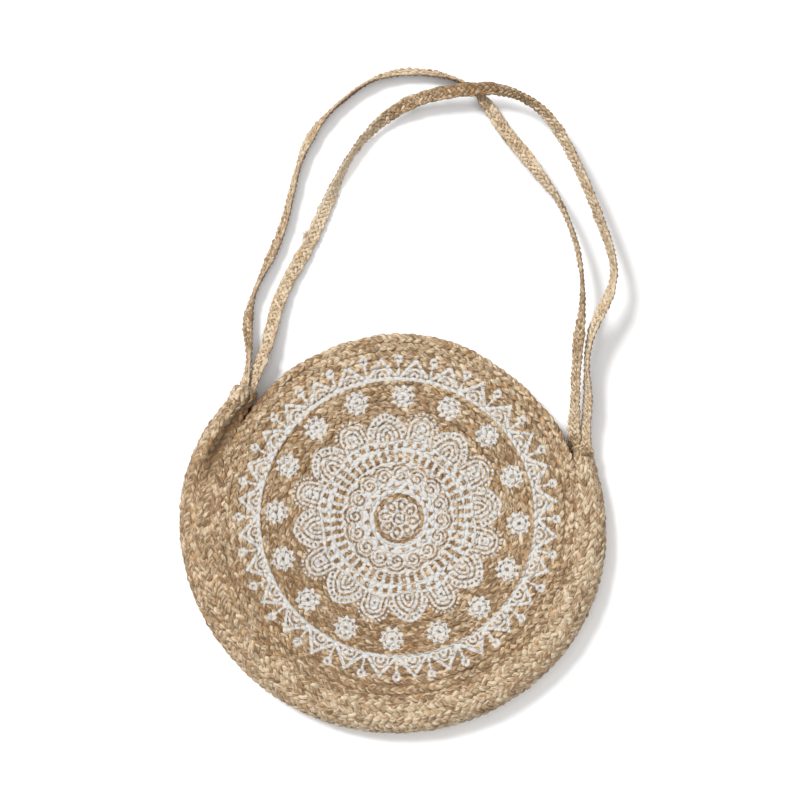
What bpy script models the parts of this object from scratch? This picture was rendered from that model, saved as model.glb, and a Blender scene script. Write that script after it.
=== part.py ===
"""Round jute bag lying on its back: two braided discs joined by a bulging side gusset, two flat straps.

Metres, +Z up. The origin is the middle of the back panel, on the surface that the bag lies on.
+Y points from the bag to its straps. Bearings are degrees clockwise from +Y, seen from above.
"""
import math
from collections import namedtuple

import bmesh
import bpy
import numpy as np

# Driving sizes of the body. GUSSET_SAG brings the widest part of the gusset down: 1 leaves it at
# half height.
PANEL_RADIUS = 0.1745
BACK_INSET = 0.0045
WALL = 0.0050
BAG_DEPTH = 0.0360
GUSSET_BULGE = 0.0345
GUSSET_SAG = 1.5
SEAM_GAP = 0.0003
GUSSET_START = 71.5
GUSSET_END = 306.0

# Driving sizes of the straps and of the folded ends that hold them
STRAP_WIDTH = 0.0118
STRAP_THICKNESS = 0.0052
STRAP_LIFT = 0.0250
STRAP_LEAD = 0.0050
LOOP_RISE = 0.3000
ANCHOR_LENGTH = 0.0150
ANCHOR_WIDTH = 0.0270
ANCHOR_HEIGHT = 0.0150

# Fineness of the facets
DISC_STEPS = 72
FRONT_RINGS = 8
BACK_RINGS = 2
GUSSET_STEPS = 66
GUSSET_ARC_STEPS = 11
STRAP_STATIONS = 90
STRAP_SIDES = 8
ANCHOR_STATIONS = 6
ANCHOR_SIDES = 16
FINE_SAMPLES = 1200

# Roundness of the flat sections: 2 is an ellipse, larger values square it off
STRAP_SQUARENESS = 3.0
ANCHOR_SQUARENESS = 2.6

JUTE_COLOURS = {
    "front_panel": (0.47, 0.33, 0.18),
    "back_panel": (0.42, 0.30, 0.17),
    "side_gusset": (0.50, 0.36, 0.20),
    "strap_anchor_left": (0.56, 0.43, 0.26),
    "strap_anchor_right": (0.54, 0.41, 0.24),
    "strap_back": (0.49, 0.36, 0.20),
    "strap_front": (0.53, 0.39, 0.22),
}
JUTE_ROUGHNESS = 0.9

# Rim of the front panel: radius as a share of PANEL_RADIUS, top face as a share of BAG_DEPTH
RimRow = namedtuple("RimRow", "bearing radius top")
RIM = (
    RimRow(0, 1.000, 0.67),
    RimRow(20, 1.003, 0.67),
    RimRow(35, 0.990, 0.70),
    RimRow(50, 0.998, 0.74),
    RimRow(63, 1.014, 0.80),
    RimRow(78, 1.008, 0.92),
    RimRow(100, 1.000, 1.00),
    RimRow(150, 1.000, 0.98),
    RimRow(200, 1.004, 1.00),
    RimRow(250, 1.000, 1.00),
    RimRow(275, 0.996, 0.94),
    RimRow(292, 0.998, 0.82),
    RimRow(310, 1.000, 0.72),
    RimRow(325, 0.992, 0.68),
    RimRow(342, 0.998, 0.67),
)

# Gusset: reach of its outer face past the front rim as a share of GUSSET_BULGE, and the rise of
# its upper fold over the front seam as a share of BAG_DEPTH
GussetRow = namedtuple("GussetRow", "bearing reach fold")
GUSSET = (
    GussetRow(70, 0.680, 0.02),
    GussetRow(80, 0.710, 0.03),
    GussetRow(95, 0.840, 0.03),
    GussetRow(120, 0.975, 0.03),
    GussetRow(150, 0.980, 0.04),
    GussetRow(190, 0.985, 0.03),
    GussetRow(225, 1.020, 0.03),
    GussetRow(262, 1.060, 0.05),
    GussetRow(280, 1.020, 0.12),
    GussetRow(293, 0.900, 0.20),
    GussetRow(306, 0.715, 0.19),
)

# Front panel: height of its middle as a share of BAG_DEPTH, and its shallow dents, with place and
# width as shares of PANEL_RADIUS and depth as a share of WALL (a negative depth is a swelling)
MIDDLE_TOP = 0.72
DISH_POWER = 2.6
DentRow = namedtuple("DentRow", "bearing radius width depth")
DENTS = (
    DentRow(298, 0.84, 0.24, 0.50),
    DentRow(250, 0.60, 0.30, -0.28),
    DentRow(95, 0.80, 0.24, 0.36),
    DentRow(150, 0.55, 0.32, -0.24),
    DentRow(200, 0.82, 0.26, 0.30),
    DentRow(20, 0.66, 0.28, -0.26),
)

# Folded gusset ends: which way they run on from the gusset, the share of ANCHOR_LENGTH that follows
# the rim and the share of ANCHOR_WIDTH that they step inwards before they turn to `heading`, their
# end section as shares of ANCHOR_WIDTH and ANCHOR_HEIGHT, its middle as a share of BAG_DEPTH, and
# where each strap is held, across as a share of ANCHOR_WIDTH and up from the middle as a share of
# ANCHOR_HEIGHT
AnchorRow = namedtuple(
    "AnchorRow",
    "name bearing turn length follow inward heading width height middle back_across back_up front_across front_up",
)
ANCHORS = (
    AnchorRow("strap_anchor_left", GUSSET_END, 1, 1.00, 0.70, 0.010, 19, 1.00, 1.00, 0.470, -0.130, -0.03, 0.140, 0.04),
    AnchorRow("strap_anchor_right", GUSSET_START, -1, 0.67, 0.50, 0.096, 6, 0.84, 1.00, 0.415, -0.190, -0.16, 0.190, 0.16),
)

# Straps: `across` is the share of the way from the left anchor to the right one, `rise` the reach
# of the loop from that line as a share of LOOP_RISE, `lift` how far the lowest edge is off the
# surface as a share of STRAP_LIFT, `roll` the turn of the flat section about its own run in degrees
StrapRow = namedtuple("StrapRow", "across rise lift roll")
STRAP_BACK_ENDS = (50, -30)
STRAP_BACK = (
    StrapRow(-0.008, 0.047, 0.34, 62),
    StrapRow(-0.008, 0.087, 0.22, 76),
    StrapRow(-0.016, 0.131, 0.12, 66),
    StrapRow(-0.030, 0.187, 0.07, 46),
    StrapRow(-0.035, 0.238, 0.05, 50),
    StrapRow(-0.031, 0.294, 0.04, 76),
    StrapRow(-0.018, 0.355, 0.03, 76),
    StrapRow(-0.003, 0.412, 0.03, 52),
    StrapRow(0.015, 0.482, 0.03, 54),
    StrapRow(0.026, 0.567, 0.03, 60),
    StrapRow(0.032, 0.652, 0.03, 66),
    StrapRow(0.039, 0.741, 0.03, 72),
    StrapRow(0.058, 0.827, 0.03, 52),
    StrapRow(0.094, 0.905, 0.03, 74),
    StrapRow(0.144, 0.970, 0.03, 89),
    StrapRow(0.203, 1.035, 0.03, 82),
    StrapRow(0.264, 1.072, 0.04, 60),
    StrapRow(0.333, 1.091, 0.04, 57),
    StrapRow(0.402, 1.095, 0.04, 64),
    StrapRow(0.463, 1.087, 0.05, 84),
    StrapRow(0.511, 1.069, 0.09, 78),
    StrapRow(0.557, 1.027, 0.22, 34),
    StrapRow(0.619, 0.956, 0.42, 12),
    StrapRow(0.689, 0.887, 0.58, -12),
    StrapRow(0.756, 0.819, 0.68, -48),
    StrapRow(0.813, 0.757, 0.81, -76),
    StrapRow(0.857, 0.687, 0.92, -84),
    StrapRow(0.893, 0.610, 1.00, -80),
    StrapRow(0.920, 0.521, 1.04, -88),
    StrapRow(0.935, 0.431, 1.01, -74),
    StrapRow(0.940, 0.339, 0.96, -46),
    StrapRow(0.947, 0.251, 0.82, -56),
    StrapRow(0.958, 0.166, 0.70, -56),
    StrapRow(0.968, 0.087, 0.53, -44),
    StrapRow(0.975, 0.036, 0.43, -32),
)
STRAP_FRONT_ENDS = (50, -45)
STRAP_FRONT = (
    StrapRow(0.021, 0.057, 0.46, 34),
    StrapRow(0.031, 0.112, 0.40, 26),
    StrapRow(0.038, 0.183, 0.31, 20),
    StrapRow(0.046, 0.272, 0.22, 14),
    StrapRow(0.061, 0.353, 0.15, 6),
    StrapRow(0.089, 0.432, 0.10, 0),
    StrapRow(0.115, 0.522, 0.07, -6),
    StrapRow(0.138, 0.607, 0.06, -20),
    StrapRow(0.157, 0.694, 0.06, -54),
    StrapRow(0.183, 0.781, 0.08, -72),
    StrapRow(0.223, 0.863, 0.13, -62),
    StrapRow(0.276, 0.935, 0.26, -28),
    StrapRow(0.337, 0.989, 0.44, -2),
    StrapRow(0.406, 1.026, 0.60, 0),
    StrapRow(0.474, 1.048, 0.72, -2),
    StrapRow(0.537, 1.066, 0.76, -12),
    StrapRow(0.599, 1.072, 0.74, -40),
    StrapRow(0.661, 1.060, 0.73, -64),
    StrapRow(0.722, 1.030, 0.79, -58),
    StrapRow(0.781, 0.973, 0.87, -50),
    StrapRow(0.842, 0.886, 0.98, -56),
    StrapRow(0.901, 0.790, 1.09, -58),
    StrapRow(0.951, 0.696, 1.16, -60),
    StrapRow(0.994, 0.611, 1.18, -68),
    StrapRow(1.012, 0.538, 1.16, -66),
    StrapRow(0.999, 0.455, 1.10, -48),
    StrapRow(0.978, 0.381, 1.00, -54),
    StrapRow(0.972, 0.310, 0.89, -74),
    StrapRow(0.981, 0.231, 0.76, -80),
    StrapRow(0.997, 0.154, 0.69, -58),
    StrapRow(1.005, 0.084, 0.59, -54),
    StrapRow(1.007, 0.042, 0.53, -50),
)

BACK_RADIUS = PANEL_RADIUS - BACK_INSET


def column(rows, name):
    """One column of a table as an array."""
    return np.array([getattr(row, name) for row in rows], dtype=float)


def smooth(knots, values, at):
    """Cubic curve through the values at the knots, with slopes from their neighbours."""
    slopes = np.gradient(values, knots, axis=0)
    at = np.clip(at, knots[0], knots[-1])
    left = np.clip(np.searchsorted(knots, at, side="right") - 1, 0, len(knots) - 2)
    span = knots[left + 1] - knots[left]
    share = (at - knots[left]) / span
    if values.ndim == 2:
        span = span[:, None]
        share = share[:, None]
    start = (2 * share ** 3 - 3 * share ** 2 + 1) * values[left]
    start_slope = (share ** 3 - 2 * share ** 2 + share) * span * slopes[left]
    end = (3 * share ** 2 - 2 * share ** 3) * values[left + 1]
    end_slope = (share ** 3 - share ** 2) * span * slopes[left + 1]
    return start + start_slope + end + end_slope


def around(rows, name, bearing):
    """A column that repeats every full turn, at the given bearings."""
    knots = column(rows, "bearing")
    values = column(rows, name)
    knots = np.concatenate((knots - 360, knots, knots + 360))
    values = np.concatenate((values, values, values))
    return smooth(knots, values, np.atleast_1d(np.asarray(bearing, dtype=float)))


def along_gusset(name, bearing):
    """A gusset column at the given bearings."""
    at = np.atleast_1d(np.asarray(bearing, dtype=float))
    return smooth(column(GUSSET, "bearing"), column(GUSSET, name), at)


def compass(bearing):
    """Horizontal unit vector at a bearing."""
    angle = np.radians(bearing)
    return np.stack((np.sin(angle), np.cos(angle)), axis=-1)


def rim_radius(bearing):
    """Outer radius of the front panel."""
    return PANEL_RADIUS * around(RIM, "radius", bearing)


def rim_top(bearing):
    """Height of the front panel's upper edge."""
    return BAG_DEPTH * around(RIM, "top", bearing)


def front_top(share, bearing):
    """Height of the front panel's upper face at shares of its radius."""
    bearing = np.atleast_1d(bearing)
    middle = BAG_DEPTH * MIDDLE_TOP
    height = middle + (rim_top(bearing) - middle) * share ** DISH_POWER
    place = compass(bearing) * share
    for dent in DENTS:
        away = place - compass(dent.bearing) * dent.radius
        bell = np.exp(-(away ** 2).sum(axis=-1) / dent.width ** 2)
        fade = 1 - share ** 4
        height = height - WALL * dent.depth * bell * fade
    return height


def superellipse(half_width, half_height, sides, squareness):
    """Closed flat outline, anticlockwise, as (across, up) pairs."""
    angle = 2 * math.pi * np.arange(sides) / sides
    across = np.sign(np.cos(angle)) * np.abs(np.cos(angle)) ** (2 / squareness)
    up = np.sign(np.sin(angle)) * np.abs(np.sin(angle)) ** (2 / squareness)
    return np.stack((across * half_width, up * half_height), axis=-1)


def jute(name):
    """Principled material in the colour of one sub-part."""
    material = bpy.data.materials.new(name)
    material.use_nodes = True
    shader = material.node_tree.nodes["Principled BSDF"]
    shader.inputs["Base Color"].default_value = (*JUTE_COLOURS[name], 1)
    shader.inputs["Roughness"].default_value = JUTE_ROUGHNESS
    shader.inputs["Metallic"].default_value = 0
    material.diffuse_color = (*JUTE_COLOURS[name], 1)
    return material


def add_object(name, mesh_builder, parent):
    """Finish a bmesh as one object with its material."""
    bmesh.ops.recalc_face_normals(mesh_builder, faces=mesh_builder.faces)
    if mesh_builder.calc_volume(signed=True) < 0:
        bmesh.ops.reverse_faces(mesh_builder, faces=mesh_builder.faces)
    mesh = bpy.data.meshes.new(name)
    mesh_builder.to_mesh(mesh)
    mesh_builder.free()
    mesh.materials.append(jute(name))
    item = bpy.data.objects.new(name, mesh)
    bpy.context.collection.objects.link(item)
    item.parent = parent
    return item


def loft(name, rings, parent, around_too=False):
    """Closed body through rings of points; the ends are capped, or joined when `around_too` is set."""
    builder = bmesh.new()
    loops = [[builder.verts.new(point) for point in ring] for ring in rings]
    pairs = list(zip(loops, loops[1:]))
    if around_too:
        pairs.append((loops[-1], loops[0]))
    sides = len(loops[0])
    for here, there in pairs:
        for i in range(sides):
            j = (i + 1) % sides
            builder.faces.new((here[i], here[j], there[j], there[i]))
    if not around_too:
        builder.faces.new(loops[0])
        builder.faces.new(loops[-1])
    return add_object(name, builder, parent)


def disc(name, radius, top, rings, parent):
    """Round wall of even thickness; radius(bearing) and top(share, bearing) give its shape."""
    bearings = 360 * np.arange(DISC_STEPS) / DISC_STEPS
    edge = radius(bearings)
    spokes = compass(bearings)
    builder = bmesh.new()
    hubs = []
    faces_of = []
    for drop in (0, WALL):
        loops = []
        for ring in range(1, rings + 1):
            share = (ring / rings) ** 0.85
            heights = top(share, bearings) - drop
            loop = []
            for spoke, reach, height in zip(spokes, edge * share, heights):
                loop.append(builder.verts.new((spoke[0] * reach, spoke[1] * reach, height)))
            loops.append(loop)
        hub_height = float(top(0.0, np.array([0.0]))[0]) - drop
        hubs.append(builder.verts.new((0, 0, hub_height)))
        faces_of.append(loops)
    for hub, loops in zip(hubs, faces_of):
        for i in range(DISC_STEPS):
            j = (i + 1) % DISC_STEPS
            builder.faces.new((hub, loops[0][i], loops[0][j]))
            for inner, outer in zip(loops, loops[1:]):
                builder.faces.new((inner[i], outer[i], outer[j], inner[j]))
    upper, lower = faces_of[0][-1], faces_of[1][-1]
    for i in range(DISC_STEPS):
        j = (i + 1) % DISC_STEPS
        builder.faces.new((upper[i], lower[i], lower[j], upper[j]))
    return add_object(name, builder, parent)


def gusset_section(bearing):
    """Wall outline of the gusset at one bearing, as (radius, height) pairs, outer face first."""
    inner_top = float(rim_radius(bearing)[0]) + SEAM_GAP
    inner_low = BACK_RADIUS + SEAM_GAP
    reach = GUSSET_BULGE * float(along_gusset("reach", bearing)[0]) - SEAM_GAP - WALL / 2
    fold = BAG_DEPTH * float(along_gusset("fold", bearing)[0])
    high = float(rim_top(bearing)[0]) - WALL / 2
    low = WALL / 2
    turn = np.linspace(0, math.pi, GUSSET_ARC_STEPS + 1)
    lean = (1 - np.cos(turn)) / 2
    radius = inner_top + (inner_low - inner_top) * lean + reach * np.sin(turn)
    share = (1 + np.cos(turn)) / 2
    height = low + (high - low) * share ** GUSSET_SAG
    upper = turn < math.pi / 2
    height = height + np.where(upper, fold * np.sin(2 * turn) ** 2, 0)
    along_radius = (inner_low - inner_top) * np.sin(turn) / 2 + reach * np.cos(turn)
    along_height = -(high - low) * GUSSET_SAG * share ** (GUSSET_SAG - 1) * np.sin(turn) / 2
    along_height = along_height + np.where(upper, 2 * fold * np.sin(4 * turn), 0)
    length = np.hypot(along_radius, along_height)
    outward = np.stack((-along_height / length, along_radius / length), axis=-1)
    middle = np.stack((radius, height), axis=-1)
    outer = middle + outward * WALL / 2
    inner = middle - outward * WALL / 2
    return np.concatenate((outer, inner[::-1]))


def side_gusset(parent):
    """Curved side wall from one strap end round the bottom to the other."""
    rings = []
    for bearing in np.linspace(GUSSET_START, GUSSET_END, GUSSET_STEPS + 1):
        out = compass(bearing)
        rings.append([(out[0] * r, out[1] * r, h) for r, h in gusset_section(bearing)])
    return loft("side_gusset", rings, parent)


def anchor_frame(anchor):
    """Start and end of a folded end: places, runs and the section that it takes over."""
    rim = float(rim_radius(anchor.bearing)[0])
    reach = GUSSET_BULGE * float(along_gusset("reach", anchor.bearing)[0])
    top = float(rim_top(anchor.bearing)[0]) + BAG_DEPTH * float(along_gusset("fold", anchor.bearing)[0])
    out = compass(anchor.bearing)
    run = np.array((out[1], -out[0])) * anchor.turn
    start = out * (rim + (SEAM_GAP + reach) / 2) + run * SEAM_GAP
    heading = compass(anchor.heading)
    length = ANCHOR_LENGTH * anchor.length
    bend = start + run * length * anchor.follow - out * ANCHOR_WIDTH * anchor.inward
    end = bend + heading * length * (1 - anchor.follow)
    half_start = ((reach - SEAM_GAP) / 2, top / 2)
    half_end = (ANCHOR_WIDTH * anchor.width / 2, ANCHOR_HEIGHT * anchor.height / 2)
    middle = BAG_DEPTH * anchor.middle
    return start, bend, end, run, heading, half_start, half_end, middle


def strap_anchor(anchor, parent):
    """Gusset end folded flat over the strap ends."""
    start, bend, end, run, heading, half_start, half_end, middle = anchor_frame(anchor)
    rings = []
    for share in np.linspace(0, 1, ANCHOR_STATIONS):
        centre = start * (1 - share) ** 2 + bend * 2 * share * (1 - share) + end * share ** 2
        ahead = run * (1 - share) + heading * share
        ahead = ahead / np.hypot(*ahead)
        side = np.array((ahead[1], -ahead[0]))
        ease = share * share * (3 - 2 * share)
        half_width = half_start[0] + (half_end[0] - half_start[0]) * ease
        half_height = half_start[1] + (half_end[1] - half_start[1]) * ease
        height = half_start[1] + (middle - half_start[1]) * ease
        outline = superellipse(half_width, half_height, ANCHOR_SIDES, ANCHOR_SQUARENESS)
        rings.append([(*(centre + side * across), height + up) for across, up in outline])
    return loft(anchor.name, rings, parent)


def strap_hold(anchor, across, up):
    """Where a strap end sits on the end face of its anchor."""
    end, heading, middle = (anchor_frame(anchor)[i] for i in (2, 4, 7))
    side = np.array((heading[1], -heading[0]))
    place = end + side * ANCHOR_WIDTH * across + heading * SEAM_GAP
    return place, heading, middle + ANCHOR_HEIGHT * up


def strap_route(rows, roll_ends, holds):
    """Evenly spaced points of a strap's middle line and its roll at each of them."""
    line_start = anchor_frame(ANCHORS[0])[2]
    line = anchor_frame(ANCHORS[1])[2] - line_start
    beside = np.array((-line[1], line[0])) / np.hypot(*line)
    outline = superellipse(STRAP_WIDTH / 2, STRAP_THICKNESS / 2, STRAP_SIDES, STRAP_SQUARENESS)
    points = []
    rolls = []
    for row in rows:
        place = line_start + line * row.across + beside * LOOP_RISE * row.rise
        angle = math.radians(row.roll)
        below = max(across * math.sin(angle) + up * math.cos(angle) for across, up in outline)
        points.append((*place, below + STRAP_LIFT * row.lift))
        rolls.append(row.roll)
    for at_end, (place, heading, height) in zip((False, True), holds):
        lead = (*(place + heading * STRAP_LEAD), height)
        tip = (*place, height)
        if at_end:
            points += [lead, tip]
            rolls += [roll_ends[1]] * 2
        else:
            points = [tip, lead] + points
            rolls = [roll_ends[0]] * 2 + rolls
    points = np.array(points)
    rolls = np.array(rolls, dtype=float)
    steps = np.linalg.norm(np.diff(points, axis=0), axis=1)
    knots = np.concatenate(((0,), np.cumsum(steps)))
    fine = np.linspace(0, knots[-1], FINE_SAMPLES)
    curve = smooth(knots, points, fine)
    run = np.concatenate(((0,), np.cumsum(np.linalg.norm(np.diff(curve, axis=0), axis=1))))
    stops = np.linspace(0, run[-1], STRAP_STATIONS + 1)
    places = np.stack([np.interp(stops, run, curve[:, axis]) for axis in range(3)], axis=-1)
    turned = np.interp(stops, run, smooth(knots, rolls, fine))
    return places, turned


def strap(name, rows, roll_ends, holds, parent):
    """Flat braided strap swept along its route, square to its anchors at both ends."""
    places, rolls = strap_route(rows, roll_ends, holds)
    ahead = np.gradient(places, axis=0)
    ahead[0] = (*holds[0][1], 0)
    ahead[-1] = (*(-holds[1][1]), 0)
    ahead = ahead / np.linalg.norm(ahead, axis=1)[:, None]
    side = np.cross(ahead, (0, 0, 1))
    side = side / np.linalg.norm(side, axis=1)[:, None]
    up = np.cross(side, ahead)
    angle = np.radians(rolls)[:, None]
    wide = side * np.cos(angle) + up * np.sin(angle)
    thick = up * np.cos(angle) - side * np.sin(angle)
    outline = superellipse(STRAP_WIDTH / 2, STRAP_THICKNESS / 2, STRAP_SIDES, STRAP_SQUARENESS)
    rings = []
    for place, w, t in zip(places, wide, thick):
        rings.append([place + w * across + t * high for across, high in outline])
    return loft(name, rings, parent)


def main():
    """Clear the scene and build every sub-part."""
    for item in list(bpy.data.objects):
        bpy.data.objects.remove(item, do_unlink=True)
    root = bpy.data.objects.new("bag_origin", None)
    bpy.context.collection.objects.link(root)

    disc("front_panel", rim_radius, front_top, FRONT_RINGS, root)

    def flat_radius(bearings):
        return np.full(len(bearings), BACK_RADIUS)

    def flat_top(share, bearings):
        return np.full(len(bearings), WALL)

    disc("back_panel", flat_radius, flat_top, BACK_RINGS, root)
    side_gusset(root)
    for anchor in ANCHORS:
        strap_anchor(anchor, root)
    back_holds = [strap_hold(anchor, anchor.back_across, anchor.back_up) for anchor in ANCHORS]
    front_holds = [strap_hold(anchor, anchor.front_across, anchor.front_up) for anchor in ANCHORS]
    strap("strap_back", STRAP_BACK, STRAP_BACK_ENDS, back_holds, root)
    strap("strap_front", STRAP_FRONT, STRAP_FRONT_ENDS, front_holds, root)


main()
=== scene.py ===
import math
from collections import namedtuple

import bpy
import numpy as np
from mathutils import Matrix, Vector
from mathutils.bvhtree import BVHTree


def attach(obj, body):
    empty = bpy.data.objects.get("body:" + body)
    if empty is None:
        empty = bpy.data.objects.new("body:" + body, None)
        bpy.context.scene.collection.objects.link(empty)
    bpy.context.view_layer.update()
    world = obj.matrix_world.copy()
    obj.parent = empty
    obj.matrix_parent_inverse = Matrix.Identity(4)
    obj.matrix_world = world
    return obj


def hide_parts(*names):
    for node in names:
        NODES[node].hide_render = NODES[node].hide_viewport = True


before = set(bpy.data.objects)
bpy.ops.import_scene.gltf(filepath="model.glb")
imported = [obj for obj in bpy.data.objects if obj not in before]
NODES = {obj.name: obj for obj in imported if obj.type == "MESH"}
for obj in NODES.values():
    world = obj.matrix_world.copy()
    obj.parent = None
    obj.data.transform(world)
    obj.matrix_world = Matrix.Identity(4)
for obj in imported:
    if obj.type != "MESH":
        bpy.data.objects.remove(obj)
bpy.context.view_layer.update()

bl_info = {
    "name": "Round jute bag",
    "version": (1, 0, 0),
    "blender": (4, 5, 0),
    "location": "3D View > Sidebar > Jute bag",
    "description": "Braids, print, straps and stage of a round jute bag, built on its frame",
    "category": "Object",
}

# Fineness of the yarns: steps for each period of a plait, and sides of a yarn
FRONT_STEPS, FRONT_SIDES = 12, 7
BACK_STEPS, BACK_SIDES = 8, 6
GUSSET_STEPS, GUSSET_SIDES = 12, 8
STRAP_STEPS, STRAP_SIDES = 24, 8

# Rows of braid across the gusset, and the share of a row by which the first laps over the panel
GUSSET_ROWS = 9
SEAM_LAP = 0.16

# Stray fibres: half thickness, points along one, and how many stand on each piece
FIBRE_HALF = 0.00016
FIBRE_STEPS = 6
PANEL_FIBRES, GUSSET_FIBRES, STRAP_FIBRES, FOLD_FIBRES = 400, 110, 500, 40

# Least and most outward bow of a fibre, its sideways bend, its taper and the spread of its tint
FIBRE_BOW = (0.02, 0.2)
FIBRE_BEND = 0.3
FIBRE_TAPER = 0.7
FIBRE_SPREAD = 0.2

# Least and most length of a fibre as a share, how far a stray one turns from its yarn, and the lift
# that a yarn has where one may stand
FIBRE_LENGTHS = (0.3, 1.0)
STRAY_TURN = 0.6
STRAY_LIFT = 0.1

# Greatest lengths of the stray fibres, in metres
PANEL_REACH, GUSSET_REACH, STRAP_STRAY_REACH, FOLD_REACH = 0.009, 0.011, 0.009, 0.005

# Below this height, in metres, what lies on the floor is pressed flat
FLOOR_SOFT = 0.0004

# Sides of the strap and anchor solids in the frame
CAD_STRAP_SIDES = 8
CAD_ANCHOR_SIDES = 16

# The plain layer under the rows: its depth as a share of a row's, the lift that shades it, its
# thickness, how far it stays inside a panel's rim, and the first, last and number of its rings
SLAB_DEPTH = 0.8
SLAB_LIFT = -0.3
SLAB_THICK = 0.0008
SLAB_MARGIN = 0.001
DISC_RINGS = (0.002, 1, 26)

# Bearing where the wound braid of a panel starts, in degrees clockwise from +Y
BRAID_START = 205.0

# The wound braid: half the step inwards near the rim in turns, how many rows keep stepping, the
# tip's width as a share, the hub left free in rows, points laid in a turn, and the wave lengths in
# which a row strays sideways and upwards
STEP_TURNS = 0.06
STEPPED_ROWS = 5.0
TIP_WIDTH = 0.12
HUB_ROWS = 0.28
TURN_POINTS = 700
ROW_WAVES = (0.09, 0.06)

# The disc in which the front panel changes from one piece to the next, as a share of its radius
FRONT_SPLIT = 0.72

# Path sampled this finely before a plait is laid along it, in metres, and how often it is smoothed
PATH_STEP = 0.0015
WALL_PASSES, STRAP_PASSES, STRAP_TURN_PASSES = 14, 30, 10

# Rays onto the gusset: how many bearings and angles, the degrees left free at its ends, the hub that
# they aim at, by its share of the gusset's height and its way out from the seam, and their length
GUSSET_GRID = (240, 61)
GUSSET_END = 0.05
HUB_HEIGHT = 0.45
HUB_OUT = 0.0009
HUB_RAY = 0.09

# Rays onto a panel start this far off, and stay this far inside its rim
RAY_START = 0.2
RIM_MARGIN = 0.0015

# One unit of the print's drawing in metres, and where the middle of its rings is
PRINT_UNIT = 0.000952
PRINT_MIDDLE = (0.0005, 0.0004)

# The print's middle flower lies off the middle of its rings, and the rings between make up for it
FLOWER_SHIFT = (1.9, -1.1)
FLOWER_FADE = (12.0, 75.0)

# The print's edge is drawn this much smaller, and its hand-cut lines stray this far, in units
EDGE_SHRINK = 1.008
PRINT_STRAY = 2.3

# Camera: where its axis meets the floor, its height and the width that it sees on the floor
VIEW_CENTRE = (0.00286, 0.1123)
VIEW_HEIGHT = 2.3
VIEW_WIDTH = 0.770
SENSOR_WIDTH = 36.0

# Lights: bearing clockwise from +Y and elevation of the source, its angular size, all in degrees
LightRow = namedtuple("LightRow", "name bearing elevation size energy")
LIGHTS = (
    LightRow("key", -45, 47, 17, 3.2),
    LightRow("top", 0, 86, 60, 1.35),
    LightRow("fill", 135, 45, 50, 0.6),
)

# Floor's half width in metres and its colour, and the sky's colour and strength
FLOOR_HALF = 6.0
FLOOR_COLOUR = (0.9, 0.9, 0.9)
SKY_COLOUR = (1.0, 0.97, 0.94)
SKY_STRENGTH = 0.19

# Look of a plait's yarns, and its shape: the yarns' half thickness, how far they go up and down,
# their share of the plait's half width, and how sharply they turn at its edges
YarnLook = namedtuple("YarnLook", "tint spread")
PlaitShape = namedtuple("PlaitShape", "yarns period thick heave yarn_share snap")
PANEL_LOOK = YarnLook(0.36, 0.18)
BACK_LOOK = YarnLook(0.42, 0.15)
GUSSET_LOOK = YarnLook(0.0, 0.18)
STRAP_LOOK = YarnLook(-0.02, 0.17)

# A yarn's share of the half width in a sewn row, in the gusset's looser rows and in a strap
ROW_SHARE, GUSSET_SHARE, STRAP_SHARE = 0.52, 0.48, 0.25
STRAP_SNAP = 0.35

# The gusset's yarns are this much thicker than the panels', and a strap's plait this much wider
# than its solid
GUSSET_THICKER = 1.1
STRAP_WIDER = 1.09

# Flat ribbon inside a strap: its shares of the strap's half width and of a yarn's
RIBBON = (0.8, 0.3)

# Tints of what lies under the rows and in the straps, of the stray fibres and of the frayed ends
CORE_TINT, RIBBON_TINT = 0.5, 0.3
GUSSET_STRAY_TINT, STRAP_STRAY_TINT, PANEL_STRAY_PALER = 0.75, 0.9, 0.2
FOLD_TUFT_TINT, STRAP_TUFT_TINT = 0.9, 0.95

# Start of each piece's random draws
SEEDS = {"front_panel": 11, "back_panel": 23, "side_gusset": 31, "strap_back": 41, "strap_front": 42}

# Unevenness of a plait: the wave length of each kind in metres, and its size
UNEVEN = {
    "turn": (0.11, 0.45),
    "swing": (0.04, 0.10),
    "sideways": (0.016, 0.00022),
    "heave": (0.03, 0.35),
    "upwards": (0.013, 0.00016),
    "girth": (0.018, 0.15),
}

# An uneven curve: the wave lengths of its sines as shares, and what its sum is divided by
WANDER_SHARES = (0.43, 0.71, 1.0, 1.63, 2.7)
WANDER_SUM = 2.2

# A yarn: its girth over its half width, how far it stays inside the plait's edge as a share of
# that half width, how much plumper it is on top, how square its section and how its tint changes
YARN_GIRTH = 4.4
YARN_INSIDE = 0.95
TOP_PLUMP = 0.08
SQUARENESS = 0.8
YARN_SPREAD = 0.3
TINT_WAVE = 0.03

# Frayed ends: where the fibres start, their mean bearing, how many and how long
TuftRow = namedtuple("TuftRow", "x y bearing count length")
TUFTS = (
    TuftRow(-0.139, 0.119, -30, 40, 0.009),
    TuftRow(-0.088, 0.269, -60, 16, 0.008),
    TuftRow(-0.102, 0.257, -100, 12, 0.007),
    TuftRow(0.1536, 0.0951, -70, 6, 0.006),
)

# A frayed end lies on yarns this near to its place, on the highest point that is at most so much
# farther off than the nearest. Its fibres spread by this in metres and in degrees, and rise so much.
TUFT_REACH = 0.004
TUFT_NEAR = 0.001
TUFT_HALF = 0.0012
TUFT_FAN = 35
TUFT_RISE = (-0.1, 0.25)

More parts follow.
